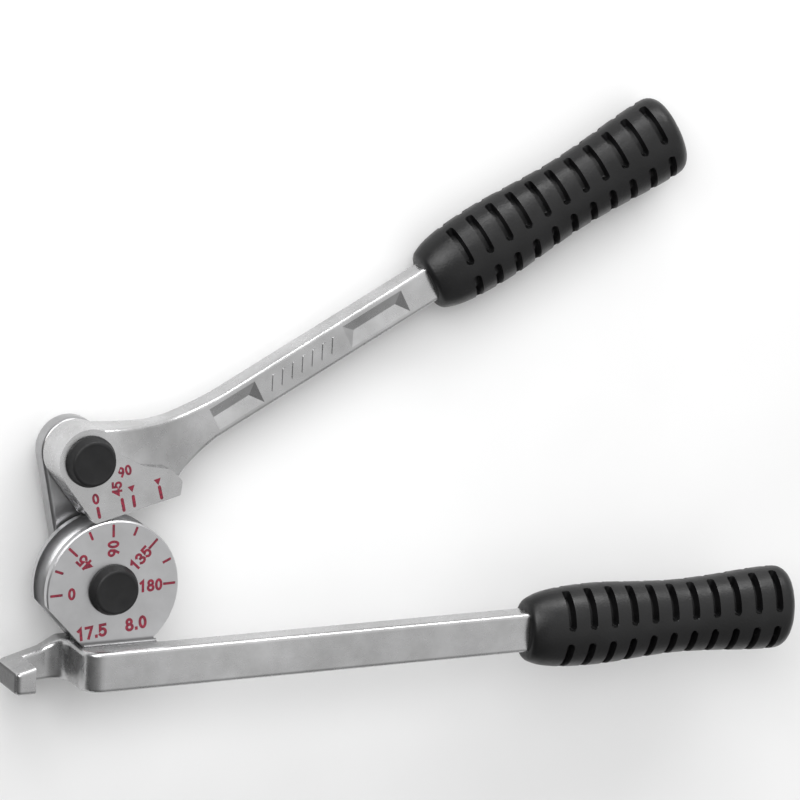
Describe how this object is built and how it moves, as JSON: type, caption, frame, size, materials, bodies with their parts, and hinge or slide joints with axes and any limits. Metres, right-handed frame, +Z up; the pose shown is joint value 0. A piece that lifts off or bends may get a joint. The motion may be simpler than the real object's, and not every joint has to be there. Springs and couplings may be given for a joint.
{
  "type": "manual tube bender",
  "caption": "Hand lever tube bender with a grooved forming wheel marked in degrees, a pivoting forming shoe on a link, a tube hook and rubber handle grips.",
  "frame": {"origin": "middle of the bounding box in X and Y, at its lowest point in Z; the tool lies flat with its dial face up", "axes": "+X along the lower handle towards its grip, +Y in the bending plane from the lower handle towards the upper one, +Z up along both pivot pins, out of the dial face"},
  "size_m": [0.234, 0.159, 0.0369],
  "materials": {
    "forged_steel": "satin, zinc-plated forging",
    "wheel_steel": "satin, zinc-plated, machined groove",
    "link_steel": "satin, zinc-plated plate",
    "pin_steel": "turned and hardened",
    "spring_steel": "dark spring steel",
    "washer_steel": "plain plated",
    "bronze": "sintered bronze",
    "cap_plastic": "matte black",
    "grip_rubber": "matte black, ribbed"
  },
  "bodies": {
    "lower_handle": {"lower_handle": "forged_steel", "forming_wheel": "wheel_steel", "lower_grip": "grip_rubber", "wheel_pin": "pin_steel", "wheel_pin_cap": "cap_plastic", "wheel_pin_ring": "spring_steel", "wheel_pin_washer": "washer_steel", "wheel_thrust_washer": "bronze", "wheel_dowels": "pin_steel"},
    "link": {"link": "link_steel", "link_bush": "bronze", "shoe_pin": "pin_steel", "shoe_pin_ring": "spring_steel", "shoe_pin_washer": "washer_steel", "shoe_pin_cap": "cap_plastic", "shoe_thrust_washer": "bronze"},
    "upper_handle": {"upper_handle": "forged_steel", "upper_grip": "grip_rubber", "shoe_bush": "bronze"}
  },
  "joints": [
    {"name": "link_swing", "type": "hinge", "parent": "lower_handle", "child": "link", "pos_m": [-0.08975, -0.04612, 0.01835], "axis": [0, 0, 1], "range_deg": [-100, 80]},
    {"name": "handle_swing", "type": "hinge", "parent": "link", "child": "upper_handle", "pos_m": [-0.09753, -0.01015, 0.01835], "axis": [0, 0, 1], "range_deg": [-2, 120]}
  ]
}
